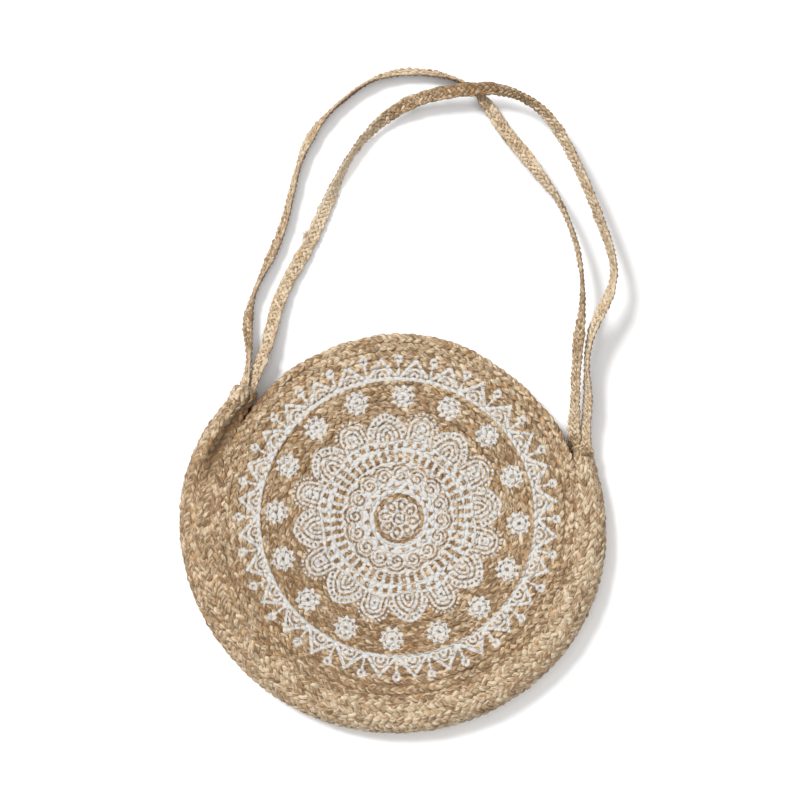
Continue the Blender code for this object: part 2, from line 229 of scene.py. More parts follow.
# Valley beside the left fold: its radius and share of its depth and of its painted shade at each bearing, in
# degrees
CreaseRow = namedtuple("CreaseRow", "bearing radius share")
CREASE = (
    CreaseRow(274, 0.198, 0.0),
    CreaseRow(284, 0.188, 0.6),
    CreaseRow(293, 0.1805, 1.0),
    CreaseRow(302, 0.1765, 1.0),
    CreaseRow(311, 0.1745, 0.9),
    CreaseRow(320, 0.172, 0.0),
)

# Depth, half width and painted shade (as a tint) of the valley, and rise, half width and place of the ridge
# outside it
VALLEY = (0.0060, 0.0075, -0.75)
RIDGE = (0.0026, 0.0070, 0.0130)

# A folded end: points round a ring, the first value of the ease by which it narrows, the last of the
# ease by which its rows spread, how narrow it gets, and how far the straps reach into it
RING_POINTS = 720
FOLD_START = -0.4
FOLD_SPREAD = 1.3
FOLD_NARROW = {"strap_anchor_left": 0.92, "strap_anchor_right": 0.38}
STRAP_REACH = 0.005

# Tint of the gusset's rows at shares of their run from the right fold to the left; the darker stretch towards
# the left is painted shade
GUSSET_TINTS = ((0.0, 0.48), (0.2, 0.58), (0.5, 0.58), (0.65, 0.5), (0.78, 0.36), (0.92, 0.4), (1.0, 0.5))

# Painted light: how much paler the front panel gets for each metre towards the mouth, where the light is
# stronger
PANEL_LIGHT_SLOPE = 0.6

# Tint of each strap at shares of its run from the left fold
STRAP_TINTS = {
    "strap_back": ((0.0, 0.8), (0.05, 0.4), (0.2, 0.6), (0.28, 0.75), (0.35, 0.7), (0.45, 0.7), (0.51, 0.6),
                   (0.6, 0.75), (0.7, 0.85), (0.85, 0.45), (0.93, 0.8), (0.98, 0.9), (1.0, 0.3)),
    "strap_front": ((0.0, 0.9), (0.15, 0.8), (0.2, 1.0), (0.27, 1.5), (0.33, 0.9), (0.38, 0.5), (0.47, 0.15),
                    (0.55, 0.4), (0.62, 0.85), (0.7, 0.8), (0.8, 1.0), (1.0, 0.9)),
}

# Fibres in the yarns' colour: their twist, and noises by waves per metre along and across a yarn,
# place, detail and roughness
TWIST = 0.22
FibreNoise = namedtuple("FibreNoise", "name along across place detail rough")
FIBRE_NOISES = (
    FibreNoise("fine", 200.0, 1500.0, 0.0, 3.0, 0.6),
    FibreNoise("streak", 190.0, 620.0, 5.3, 2.0, 0.5),
    FibreNoise("coarse", 100.0, 330.0, 3.7, 2.0, 0.5),
    FibreNoise("hue", 70.0, 330.0, 9.1, 2.0, 0.5),
)

# Depth of the fibres' relief, in metres
RELIEF = 0.0014

# How much paler the folded ends are than the gusset, and the length of yarn mapped onto their cores
FOLD_PALER = 0.12
FOLD_CORE_RUN = 0.04


class BagBraid(bpy.types.PropertyGroup):
    """Sizes of the sewn braid of the panels and the gusset."""

    row_pitch: bpy.props.FloatProperty(
        name="Row pitch", description="Width of a sewn row of the panels", default=0.0074, unit="LENGTH"
    )
    period: bpy.props.FloatProperty(
        name="Plait period",
        description="Length in which a yarn goes over and back",
        default=0.0232,
        unit="LENGTH",
    )
    yarn: bpy.props.FloatProperty(
        name="Yarn", description="Half thickness of a flattened yarn", default=0.00135, unit="LENGTH"
    )
    heave: bpy.props.FloatProperty(
        name="Heave", description="How far a yarn goes up and down", default=0.00095, unit="LENGTH"
    )
    fullness: bpy.props.FloatProperty(
        name="Fullness", description="Half width of a braid as a share of its row", default=0.61
    )
    unevenness: bpy.props.FloatProperty(
        name="Unevenness", description="How far rows stray from their place", default=0.00035, unit="LENGTH"
    )


class BagStrap(bpy.types.PropertyGroup):
    """Sizes of the flat strap plaits."""

    yarns: bpy.props.IntProperty(name="Yarns", description="Yarns in one strap", default=7)
    period: bpy.props.FloatProperty(
        name="Strap period",
        description="Length in which a yarn crosses and returns",
        default=0.0350,
        unit="LENGTH",
    )
    yarn: bpy.props.FloatProperty(
        name="Strap yarn", description="Half thickness of a strap yarn", default=0.0012, unit="LENGTH"
    )
    heave: bpy.props.FloatProperty(
        name="Strap heave", description="How far a strap yarn goes up and down", default=0.0008, unit="LENGTH"
    )


class BagColours(bpy.types.PropertyGroup):
    """Colours of the jute and of the print."""

    shade: bpy.props.FloatVectorProperty(
        name="Shaded jute", description="Deep between the yarns", default=(0.10, 0.06, 0.03), subtype="COLOR"
    )
    brown: bpy.props.FloatVectorProperty(
        name="Brown jute", description="Darker yarns", default=(0.16, 0.09, 0.04), subtype="COLOR"
    )
    straw: bpy.props.FloatVectorProperty(
        name="Straw jute", description="Most yarns", default=(0.355, 0.255, 0.155), subtype="COLOR"
    )
    pale: bpy.props.FloatVectorProperty(
        name="Pale jute", description="Lightest yarns", default=(0.60, 0.49, 0.35), subtype="COLOR"
    )
    # Rusty jute: orange-brown streaks, and also the orange-brown painted shade in the gaps between the yarns
    rust_and_gap_shade: bpy.props.FloatVectorProperty(
        name="Rusty jute", description="Orange-brown streaks", default=(0.40, 0.22, 0.085), subtype="COLOR"
    )
    moss: bpy.props.FloatVectorProperty(
        name="Green jute", description="Grey-green streaks", default=(0.30, 0.27, 0.18), subtype="COLOR"
    )
    paint: bpy.props.FloatVectorProperty(
        name="Print", description="White of the print", default=(0.52, 0.51, 0.49), subtype="COLOR"
    )


def attributes_of(name):
    """The named settings of the bag."""
    return getattr(bpy.context.scene, name)


def row_shape(share, scale=1.0):
    """Shape of a sewn row's plait of three yarns, each with this share of the row's half width."""
    braid = attributes_of("bag_braid")
    return PlaitShape(3, braid.period, braid.yarn * scale, braid.heave * scale, share, 0.0)


def unit(vectors):
    """Vectors scaled to length one."""
    return vectors / np.maximum(np.linalg.norm(vectors, axis=-1, keepdims=True), 1e-12)


def compass(bearing):
    """Horizontal unit vectors at bearings in radians, clockwise from +Y."""
    return np.stack((np.sin(bearing), np.cos(bearing)), axis=-1)


def wander(length, wave, size, rng):
    """Slow uneven curve: a sum of five sines of wave lengths near `wave`, of about `size` in height."""
    total = np.zeros_like(length)
    for share in WANDER_SHARES:
        start = rng.uniform(0, 2 * math.pi)
        stretch = rng.uniform(0.85, 1.15)
        total += np.sin(2 * math.pi * length / (wave * share * stretch) + start) * share ** 0.5
    return total * size / WANDER_SUM


def mesh_points(node):
    """A node's vertices as an array."""
    mesh = NODES[node].data
    points = np.empty(len(mesh.vertices) * 3)
    mesh.vertices.foreach_get("co", points)
    return points.reshape(-1, 3)


def tree_of(node):
    """Search tree over a node's faces."""
    mesh = NODES[node].data
    faces = [tuple(face.vertices) for face in mesh.polygons]
    return BVHTree.FromPolygons([v.co.copy() for v in mesh.vertices], faces)


def cast(tree, origins, directions):
    """First hit of each ray, and the face normal there, turned against the ray."""
    places = np.empty_like(origins)
    normals = np.empty_like(origins)
    for i, (origin, direction) in enumerate(zip(origins, directions)):
        hit, normal, _, _ = tree.ray_cast(Vector(origin), Vector(direction))
        if hit is None:
            raise RuntimeError(f"ray {i} met no face")
        places[i] = hit
        normals[i] = normal if normal.dot(Vector(direction)) < 0 else -normal
    return places, normals


def rings_of(node, sides, next_to):
    """Rings of a lofted node, level by level, from its flat end that is nearest to another node.

    A flat end is a set of sides - 2 triangles in one plane. Each next ring is what touches the last.
    """
    points, where = np.unique(mesh_points(node).round(6), axis=0, return_inverse=True)
    where = where.ravel()
    corners = np.empty(len(NODES[node].data.polygons) * 3, dtype=int)
    NODES[node].data.polygons.foreach_get("vertices", corners)
    corners = where[corners].reshape(-1, 3)
    edges = np.concatenate((corners[:, :2], corners[:, 1:], corners[:, ::2]))
    edges = np.concatenate((edges, edges[:, ::-1]))
    first, second, third = (points[corners[:, i]] for i in range(3))
    normals = unit(np.cross(second - first, third - first))
    off_plane = np.abs(normals @ first.T - (normals * first).sum(axis=1)[:, None])
    same = (normals @ normals.T > 0.999) & (off_plane < 1e-5)
    flat_ends = {tuple(np.unique(corners[row])) for row in same if row.sum() == sides - 2}
    flat_ends = [list(end) for end in flat_ends if len(end) == sides]
    target = mesh_points(next_to)
    gaps = [np.linalg.norm(target - points[end].mean(axis=0), axis=1).min() for end in flat_ends]
    ring = np.array(flat_ends[int(np.argmin(gaps))])
    seen = np.zeros(len(points), dtype=bool)
    rings = []
    while len(ring) == sides:
        rings.append(ring)
        seen[ring] = True
        touching = np.unique(edges[np.isin(edges[:, 0], ring), 1])
        ring = touching[~seen[touching]]
    if not seen.all():
        raise RuntimeError(f"{node}: {int((~seen).sum())} vertices are in no ring")
    return points[np.array(rings)]


def run_along(points):
    """Length of a path up to each of its points."""
    return np.concatenate(((0,), np.cumsum(np.linalg.norm(np.diff(points, axis=0), axis=1))))


def between(stops, length, values):
    """Columns of values that are given at some lengths, read between them at others."""
    return np.stack([np.interp(stops, length, column) for column in values.T], axis=-1)


def resample(points, *others):
    """A path and what goes with it at even steps of its length, and those lengths."""
    length = run_along(points)
    count = max(8, int(round(length[-1] / PATH_STEP)) + 1)
    stops = np.linspace(0, length[-1], count)
    return (*(between(stops, length, values) for values in (points, *others)), stops)


def smooth_path(points, passes):
    """Averages each point with its neighbours, with the ends kept."""
    points = points.copy()
    for _ in range(passes):
        points[1:-1] = (points[:-2] + 2 * points[1:-1] + points[2:]) / 4
    return points


def plait(path, across, up, stops, shape, half_width, steps, sides, rng, look):
    """Yarns of a flat plait along a path.

    Yarn k stands at turn t = 2 pi (length / period + k / yarns). It lies cos(t) across and
    sin((yarns - 1) t) up, so it goes over one neighbour and under the next. Its section is an
    ellipse whose flat side follows the plait, a little plumper where it lies on top.
    """
    even = np.arange(0, stops[-1], shape.period / steps)
    lay = [between(even, stops, values) for values in (path, across, up)]
    middle, side, high = lay[0], unit(lay[1]), unit(lay[2])
    half_width = np.interp(even, stops, np.broadcast_to(half_width, stops.shape))
    yarn_half = half_width * shape.yarn_share
    reach = half_width - yarn_half * YARN_INSIDE
    half_depth = shape.thick + shape.heave
    drift = wander(even, *UNEVEN["turn"], rng)
    vertices = []
    along = []
    lifts = []
    tints = []
    for k in range(shape.yarns):
        turn = 2 * math.pi * (even / shape.period + k / shape.yarns) + drift
        over = np.sin((shape.yarns - 1) * turn)
        wave = np.cos(turn)
        swing = wave * (1 + shape.snap * (1 - wave * wave))
        shift = reach * swing * (1 + wander(even, *UNEVEN["swing"], rng))
        shift = shift + wander(even, *UNEVEN["sideways"], rng)
        rise = shape.heave * over * (1 + wander(even, *UNEVEN["heave"], rng))
        rise = rise + wander(even, *UNEVEN["upwards"], rng)
        centre = middle + side * shift[:, None] + high * rise[:, None]
        ahead = unit(np.gradient(centre, axis=0))
        wide = unit(np.cross(ahead, high))
        thick = np.cross(wide, ahead)
        plump = 1 + TOP_PLUMP * over + wander(even, *UNEVEN["girth"], rng)
        angle = -math.pi / 2 + 2 * math.pi * np.arange(sides) / sides
        spread = (yarn_half * plump)[:, None] * np.cos(angle)[None, :]
        box = np.sign(np.sin(angle)) * np.abs(np.sin(angle)) ** SQUARENESS
        raised = (shape.thick * (1 + wander(even, *UNEVEN["girth"], rng)))[:, None] * box[None, :]
        shell = centre[:, None] + wide[:, None] * spread[..., None] + thick[:, None] * raised[..., None]
        vertices.append(shell)
        along.append(even + rng.uniform(0, 10))
        lifts.append((rise[:, None] + raised) / half_depth)
        tint = look.tint + rng.normal(0, look.spread * YARN_SPREAD)
        tint = tint + wander(even, TINT_WAVE, look.spread, rng)
        tints.append(np.repeat(tint[:, None], sides, axis=1))
    return np.array(vertices), np.array(along), np.array(lifts), np.array(tints), yarn_half


def part_of(laid, first, last, paler=0.0):
    """The stretch of a laid plait between two stations, made paler."""
    shells, along, lifts, tints, yarn_half = laid
    part = slice(first, last + 1)
    return shells[:, part], along[:, part], lifts[:, part], tints[:, part] + paler, yarn_half[part]


class Yarns:
    """Gathers yarns and makes them one mesh with its UV map and attributes."""

    def __init__(self):
        self.points = []
        self.quads = []
        self.caps = []
        self.maps = []
        self.lifts = []
        self.tints = []
        self.count = 0

    def add(self, laid):
        """Adds every yarn of one plait as a closed tube."""
        shells, along, lifts, tints, yarn_half = laid
        yarns, stations, sides, _ = shells.shape
        index = self.count + np.arange(yarns * stations * sides).reshape(yarns, stations, sides)
        beside = np.roll(index, -1, axis=2)
        quads = np.stack((index[:, :-1], index[:, 1:], beside[:, 1:], beside[:, :-1]), axis=-1)
        self.quads.append(quads.reshape(-1, 4))
        self.caps.append(index[:, 0].reshape(-1, sides))
        self.caps.append(index[:, -1, ::-1].reshape(-1, sides))
        girth = YARN_GIRTH * float(np.mean(yarn_half)) / sides
        start = np.broadcast_to(along[:, :-1, None], (yarns, stations - 1, sides))
        end = np.broadcast_to(along[:, 1:, None], (yarns, stations - 1, sides))
        low = np.broadcast_to(np.arange(sides) * girth, start.shape)
        loop = ((start, low), (end, low), (end, low + girth), (start, low + girth))
        self.maps.append(np.stack([np.stack(pair, axis=-1) for pair in loop], axis=-2).reshape(-1, 2))
        self.points.append(shells.reshape(-1, 3))
        self.lifts.append(lifts.ravel())
        self.tints.append(tints.ravel())
        self.count += yarns * stations * sides

    def add_fibres(self, roots, headings, outs, lengths, tint, rng):
        """Adds thin tapering tubes of three sides.

        Each runs along its heading, bows outwards as t (1.7 - t) and bends sideways as t squared.
        """
        share = np.linspace(0, 1, FIBRE_STEPS)[None, :, None]
        bow = rng.uniform(*FIBRE_BOW, len(roots))[:, None, None] * share * (1.7 - share)
        bend = rng.normal(0, FIBRE_BEND, len(roots))[:, None, None] * share ** 2
        ways = headings[:, None] * share + outs[:, None] * bow + np.cross(outs, headings)[:, None] * bend
        line = roots[:, None] + ways * lengths[:, None, None]
        line[..., 2] = np.maximum(line[..., 2], FIBRE_HALF * 1.5)
        ahead = unit(np.gradient(line, axis=1))
        wide = unit(np.cross(ahead, outs[:, None]))
        thick = np.cross(wide, ahead)
        angle = 2 * math.pi * np.arange(3) / 3
        girth = (FIBRE_HALF * (1 - FIBRE_TAPER * share))[..., None]
        round_it = wide[:, :, None] * np.cos(angle)[:, None] + thick[:, :, None] * np.sin(angle)[:, None]
        shells = line[:, :, None] + girth * round_it
        along = lengths[:, None] * share[..., 0] + rng.uniform(0, 10, len(roots))[:, None]
        tints = tint + rng.normal(0, FIBRE_SPREAD, len(roots))[:, None, None] + np.zeros((*along.shape, 3))
        self.add((shells, along, np.ones_like(tints), tints, np.full(FIBRE_STEPS, FIBRE_HALF)))

    def add_strays(self, laid, count, length, tint, rng):
        """Adds stray fibres that leave the upper side of a plait's yarns, none near its ends."""
        shells, _, lifts, _, _ = laid
        yarns, stations, sides, _ = shells.shape
        if stations < 4:
            return
        margin = 1 + min(stations // 4, 8)
        yarn = rng.integers(yarns, size=count)
        station = rng.integers(margin, stations - margin, size=count)
        corner = rng.integers(sides, size=count)
        middle = shells.mean(axis=2)
        roots = shells[yarn, station, corner]
        outs = unit(roots - middle[yarn, station])
        ahead = unit(middle[yarn, station + 1] - middle[yarn, station - 1])
        ahead = ahead * rng.choice((-1, 1), count)[:, None]
        headings = unit(ahead + np.cross(outs, ahead) * rng.normal(0, STRAY_TURN, count)[:, None])
        upper = lifts[yarn, station, corner] > STRAY_LIFT
        lengths = rng.uniform(*FIBRE_LENGTHS, count) * length
        self.add_fibres(roots[upper], headings[upper], outs[upper], lengths[upper], tint, rng)

    def add_tufts(self, laid, tint, rng):
        """Adds the frayed ends that lie on a plait."""
        points = laid[0].reshape(-1, 3)
        for tuft in TUFTS:
            off = np.hypot(points[:, 0] - tuft.x, points[:, 1] - tuft.y)
            if off.min() > TUFT_REACH:
                continue
            near = points[off < off.min() + TUFT_NEAR]
            root = near[near[:, 2].argmax()]
            roots = root + rng.normal(0, TUFT_HALF, (tuft.count, 3)) * (1, 1, 0.2)
            bearing = np.radians(tuft.bearing + rng.normal(0, TUFT_FAN, tuft.count))
            headings = np.concatenate((compass(bearing), rng.uniform(*TUFT_RISE, (tuft.count, 1))), axis=1)
            lengths = rng.uniform(*FIBRE_LENGTHS, tuft.count) * tuft.length
            outs = np.tile((0.0, 0.0, 1.0), (tuft.count, 1))
            self.add_fibres(roots, unit(headings), outs, lengths, tint, rng)

    def add_core(self, rings, along, girth, tint):
        """Adds a closed tube that fills the inside of a plait and is shaded like what lies deep."""
        still = np.zeros((1, *rings.shape[:2]))
        self.add((rings[None], along[None], still + SLAB_LIFT, still + tint, np.full(len(rings), girth)))

    def add_slab(self, top, normals, tint):
        """Adds a closed slab under a grid of points."""
        rows, columns, _ = top.shape
        under = top - normals * SLAB_THICK
        index = self.count + np.arange(2 * rows * columns).reshape(2, rows, columns)
        faces = []
        rims = []
        for grid, way in zip(index, (1, -1)):
            quads = np.stack((grid[:-1, :-1], grid[1:, :-1], grid[1:, 1:], grid[:-1, 1:]), axis=-1)
            faces.append(quads.reshape(-1, 4)[:, ::way])
            rims.append(np.concatenate((grid[:-1, 0], grid[-1, :-1], grid[:0:-1, -1], grid[0, :0:-1])))
        edge, low = rims
        faces.append(np.stack((edge, low, np.roll(low, -1), np.roll(edge, -1)), axis=-1))
        faces = np.concatenate(faces)
        points = np.concatenate((top.reshape(-1, 3), under.reshape(-1, 3)))
        self.quads.append(faces)
        self.maps.append(points[faces - self.count][..., :2].reshape(-1, 2))
        self.points.append(points)
        self.lifts.append(np.full(len(points), SLAB_LIFT))
        self.tints.append(np.full(len(points), tint))
        self.count += len(points)

    def build(self, name, material, replaced=(), slot=None):
        """One smooth mesh object of all that was added, darkened by painted shade in the valley beside the
        left fold and pressed flat where it meets the floor.
        """
        quads = np.concatenate(self.quads)
        caps = [cap for group in self.caps for cap in group.tolist()]
        points = np.concatenate(self.points)
        # Painted shade: the tint drops along the valley beside the left fold, where the fold shades the
        # panel's rim
        radius, middle, share = from_crease(points)
        inner = (radius - middle) / VALLEY[1]
        tints = np.concatenate(self.tints) + VALLEY[2] * share * np.exp(-inner * inner)
        low = points[:, 2] < FLOOR_SOFT
        points[low, 2] = FLOOR_SOFT * np.exp(points[low, 2] / FLOOR_SOFT - 1)
        mesh = bpy.data.meshes.new(name)
        mesh.from_pydata(points, [], quads.tolist() + caps)
        layer = mesh.uv_layers.new(name="Yarn")
        flat = np.zeros((len(mesh.loops), 2))
        corners = np.concatenate(self.maps)
        flat[: len(corners)] = corners
        layer.data.foreach_set("uv", flat.ravel())
        for label, values in (("lift", np.concatenate(self.lifts)), ("tint", tints)):
            store = mesh.attributes.new(label, "FLOAT", "POINT")
            store.data.foreach_set("value", values)
        mesh.polygons.foreach_set("use_smooth", np.ones(len(mesh.polygons), dtype=bool))
        mesh.materials.append(material)
        piece = bpy.data.objects.new(name, mesh)
        bpy.context.scene.collection.objects.link(piece)
        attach(piece, "root")
        if replaced:
            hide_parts(*replaced)
        return piece


def feed(tree, node, values):
    """Links a node's inputs, by name or place, to fields and sockets, or sets them to values."""
    for key, value in values.items():
        if isinstance(value, Field):
            value = value.socket
        if isinstance(value, bpy.types.NodeSocket):
            tree.links.new(value, node.inputs[key])
        elif isinstance(value, (int, float)):
            node.inputs[key].default_value = value
        else:
            node.inputs[key].default_value = (*value, 1)


class Field:
    """A number that varies over the surface, held as a socket of a node tree."""

    def __init__(self, tree, socket):
        self.tree = tree
        self.socket = socket

    def math(self, operation, *others):
        """A math node with this field first."""
        node = self.tree.nodes.new("ShaderNodeMath")
        node.operation = operation
        feed(self.tree, node, dict(enumerate((self, *others))))
        return Field(self.tree, node.outputs[0])

    def named(operation):
        """A method that makes the math node of one operation."""
        return lambda self, *others: self.math(operation, *others)

    __add__ = __radd__ = named("ADD")
    __sub__ = named("SUBTRACT")
    __mul__ = __rmul__ = named("MULTIPLY")
    __truediv__ = named("DIVIDE")
    __abs__ = named("ABSOLUTE")
    sin = named("SINE")
    cos = named("COSINE")
    wrap = named("FLOORED_MODULO")
    angle = named("ARCTAN2")

    def __neg__(self):
        return self * -1.0

    def __rsub__(self, other):
        return -self + other

    def least(self, *others):
        result = self
        for other in others:
            result = result.math("MINIMUM", other)
        return result

    def most(self, *others):
        result = self
        for other in others:
            result = result.math("MAXIMUM", other)
        return result

    def length(self, other):
        return (self * self + other * other).math("SQRT")

    def ramp(self, start, end):
        """Share of the way from start to end, kept between 0 and 1."""
        node = self.tree.nodes.new("ShaderNodeMapRange")
        feed(self.tree, node, {"Value": self, "From Min": start, "From Max": end})
        return Field(self.tree, node.outputs["Result"])


def noise(tree, vector, scale, detail=2.0, roughness=0.5):
    """Noise between 0 and 1 over a vector socket."""
    node = tree.nodes.new("ShaderNodeTexNoise")
    feed(tree, node, {"Vector": vector, "Scale": scale, "Detail": detail, "Roughness": roughness})
    return Field(tree, node.outputs["Fac"])


def combine(tree, x, y, z=0.0):
    """A vector of three fields or numbers."""
    node = tree.nodes.new("ShaderNodeCombineXYZ")
    feed(tree, node, {"X": x, "Y": y, "Z": z})
    return node.outputs[0]


def separate(tree, vector):
    """The fields of a vector socket."""
    node = tree.nodes.new("ShaderNodeSeparateXYZ")
    tree.links.new(vector, node.inputs[0])
    return [Field(tree, node.outputs[i]) for i in range(3)]


def blend(tree, factor, first, second):
    """Colour between two, each a socket or a colour."""
    node = tree.nodes.new("ShaderNodeMix")
    node.data_type = "RGBA"
    places = [i for i, place in enumerate(node.inputs) if place.enabled]
    feed(tree, node, dict(zip(places, (factor, first, second))))
    return [place for place in node.outputs if place.enabled][0]


def new_group(name, inputs, outputs):
    """Empty node group with the given sockets, and its input and output nodes."""
    group = bpy.data.node_groups.new(name, "ShaderNodeTree")
    for way, sockets in (("INPUT", inputs), ("OUTPUT", outputs)):
        for label, kind in sockets.items():
            group.interface.new_socket(label, in_out=way, socket_type="NodeSocket" + kind)
    return group, group.nodes.new("NodeGroupInput"), group.nodes.new("NodeGroupOutput")


def jute_group():
    """Colour, height and roughness of jute yarn.

    Fibres are noise stretched along the yarn's own map and slanted with its twist. The colour goes
    from brown over straw to pale with the tint, the fibres and a slow change over the bag. Where the
    yarn dips under its neighbours it takes an orange-brown painted shade and then a dark painted shade.
    """
    colours = attributes_of("bag_colours")
    group, enter, leave = new_group(
        "jute_yarn",
        {"Map": "Vector", "Place": "Vector", "Tint": "Float", "Lift": "Float"},
        {"Color": "Color", "Height": "Float", "Roughness": "Float"},
    )
    u, v, _ = separate(group, enter.outputs["Map"])
    tint = Field(group, enter.outputs["Tint"])
    lift = Field(group, enter.outputs["Lift"])
    slant = v + u * TWIST
    fine, streak, coarse, hue = (
        noise(group, combine(group, u * row.along, slant * row.across, row.place), 1.0, row.detail, row.rough)
        for row in FIBRE_NOISES
    )
    patch = noise(group, enter.outputs["Place"], 260.0, 2.0, 0.5)
    broad = noise(group, enter.outputs["Place"], 18.0, 1.0, 0.5)
    value = tint + (coarse - 0.5) * 1.0 + (streak - 0.5) * 2.5 + (fine - 0.5) * 1.8
    value = value + (patch - 0.5) * 0.6 + (broad - 0.5) * 0.3
    low = blend(group, value.ramp(0.0, 0.5), colours.brown, colours.straw)
    body = blend(group, value.ramp(0.5, 1.0), low, colours.pale)
    body = blend(group, hue.ramp(0.52, 0.72) * 0.7, body, colours.rust_and_gap_shade)
    body = blend(group, hue.ramp(0.44, 0.26) * 0.4, body, colours.moss)
    # Painted shade: the gaps where a yarn dips turn orange-brown, then dark
    body = blend(group, lift.ramp(0.5, -0.5) * 0.45, body, colours.rust_and_gap_shade)
    dip = lift.ramp(0.4, -0.5)
    shaded = blend(group, dip * 0.85, body, colours.shade)
    height = coarse * 0.2 + streak * 0.5 + fine * 0.3
    rough = value.ramp(0.0, 1.4) * -0.12 + 0.78
    feed(group, leave, {"Color": shaded, "Height": height, "Roughness": rough})
    return group


def mandala_group():
    """Mask of the round print from a place on the panel.

    Every figure is a signed distance, negative inside. A ring of figures folds the bearing into
    one sector, so one figure stands for all of them. Unions take the least distance and cuts the
    most of one and the other's negative.
    """
    group, enter, leave = new_group("round_print", {"Place": "Vector"}, {"Mask": "Float"})
    x, y, _ = separate(group, enter.outputs["Place"])
    jitter = group.nodes.new("ShaderNodeTexNoise")
    feed(group, jitter, {"Vector": enter.outputs["Place"], "Scale": 420.0, "Detail": 2.0})
    jx, jy, _ = separate(group, jitter.outputs["Color"])
    x = (x - PRINT_MIDDLE[0]) / PRINT_UNIT + (jx - 0.5) * PRINT_STRAY
    y = (y - PRINT_MIDDLE[1]) / PRINT_UNIT + (jy - 0.5) * PRINT_STRAY
    off = x.length(y).ramp(FLOWER_FADE[1], FLOWER_FADE[0])
    x = x - off * FLOWER_SHIFT[0]
    y = y - off * FLOWER_SHIFT[1]
    r = x.length(y)
    bearing = x.angle(y)

    def sector(count, phase):
        """Across and outward places inside one of `count` equal sectors, the first at `phase`."""
        step = 2 * math.pi / count
        turn = (bearing + (step / 2 - math.radians(phase))).wrap(step) - step / 2
        return r * turn.sin(), r * turn.cos()

    def line(distance, middle, half):
        """Stripe of a distance field."""
        return abs(distance - middle) - half

    # Middle flower of eight petals round a ring and a dot
    u, v = sector(8, 10.0)
    petal = ((u / 3.6).length((v - 13.8) / 5.2) - 1.0) * 3.6
    cuts = line(petal, -0.6, 1.15).least(line(r, 5.5, 0.8), r - 2.2)
    flower = (r - 12.0).least(u.length(v - 13.7) - 7.3).most(-cuts)

    # Sixteen curls and the wedges between them
    u, v = sector(16, 3.0)
    out = u.length(v - 43.0)
    winding = u.angle(v - 43.0)
    coil = (out - winding * (4.7 / (2 * math.pi))).wrap(4.7)
    spiral = line(coil, 2.35, 1.15).most(out - 7.4)
    scallop = (r - 43.0).least(out - 9.1)
    u, v = sector(16, 14.25)
    wedge = (abs(u) - (35.4 - v) * 0.65).most(29.8 - v)
    curls = scallop.most(25.2 - r).most(-spiral).most(-wedge)

    # Band of bars and of small cells
    u, v = sector(48, 2.0)
    wave = ((bearing - math.radians(15.2)) * 8.0).cos()
    bars = (abs(u) - 2.35).most(abs(v - 61.3) - 5.2)
    cells = (abs(u) - 2.5).most(abs(v - wave * 2.2 - 73.0) - 2.9)
    band = (2.5 - scallop).most(r - wave * 2.0 - 78.5).most(-bars).most(-cells)

    # Rosette of pointed arches behind round arches
    u, v = sector(8, 15.2)
    top = (v - 91.0).most(0.0)
    round_arch = u.length(top) - 12.6
    dot_turn = (u.angle(v - 91.0) * 16.0).wrap(4.2) - 2.1
    dots = dot_turn.length(round_arch - 3.2) - 1.25
    dots = dots.most(90.0 - v)
    cuts = line(round_arch, -3.4, 1.15).least(line(round_arch, -7.9, 0.65), u.length(v - 88.0) - 1.5)
    cuts = cuts.least(line(v, 81.0, 0.7).most(abs(u) - 6.0))
    round_face = round_arch.most(77.0 - v).most(-cuts)
    u, v = sector(8, -7.3)
    tip = (v - 80.0).most(0.0)
    pointed = (abs(u) + 5.1).length(tip) - 25.6
    run = (abs(u) + 5.1).angle(tip + 0.01) * 25.6
    bead = (run.wrap(5.4) - 2.7).length(pointed + 3.6) - 1.55
    cuts = bead.least(line(pointed, -8.6, 1.2), line(pointed, -13.6, 0.8), line(pointed, -18.0, 1.1))
    pointed_face = pointed.most(77.0 - v).most(1.3 - round_arch).most(-cuts)
    rosette = round_face.least(pointed_face, dots)

    # Sixteen small flowers
    u, v = sector(16, 2.7)
    out = u.length(v - 121.2)
    fringe = (u.angle(v - 121.2) * 9.0).cos()
    cuts = line(out, 7.4, 0.8).most(fringe * 2.0 - 0.9).least(out - 1.8)
    blooms = (out - fringe * 1.5 - 10.9).most(-cuts)

    # Outer ring, zigzag with its arches, and balls on stems
    r = r * EDGE_SHRINK
    rim = line(r, 140.0, 1.7)
    u, v = sector(28, -6.1)
    slope = (abs(u) * 20.0 + (v - 161.5) * 15.7) / 25.4
    zigzag = line(slope, -1.3, 1.55).most(140.0 - v)
    out = u.length(v - 143.0)
    arches = line(out, 7.3, 1.1).least(line(out, 2.7, 1.2)).most(140.0 - v)
    u, v = sector(28, 0.4)
    stem = (abs(u) - 1.15).most(abs(v - 149.0) - 8.5)
    foot = (abs(u) - 4.2 + (v - 141.0) * 0.75).most(140.0 - v)
    out = u.length(v - 160.0)
    ball = line(out, 2.9, 1.45)
    edge = rim.least(zigzag, arches, stem, foot, ball)

    figure = flower.least(curls, band, rosette, blooms, edge)
    speck = noise(group, enter.outputs["Place"], 900.0, 2.0, 0.6)
    worn = noise(group, enter.outputs["Place"], 300.0, 2.0, 0.6)
    mask = (figure + (speck - 0.5) * 2.2 + (worn - 0.5) * 2.0).ramp(0.45, -0.45)
    feed(group, leave, {"Mask": mask})
    return group


def attribute(tree, name):
    """A mesh attribute as a field."""
    node = tree.nodes.new("ShaderNodeAttribute")
    node.attribute_name = name
    return Field(tree, node.outputs["Fac"])


def shared_group(name, make):
    """A node group, made the first time that it is asked for."""
    return bpy.data.node_groups.get(name) or make()


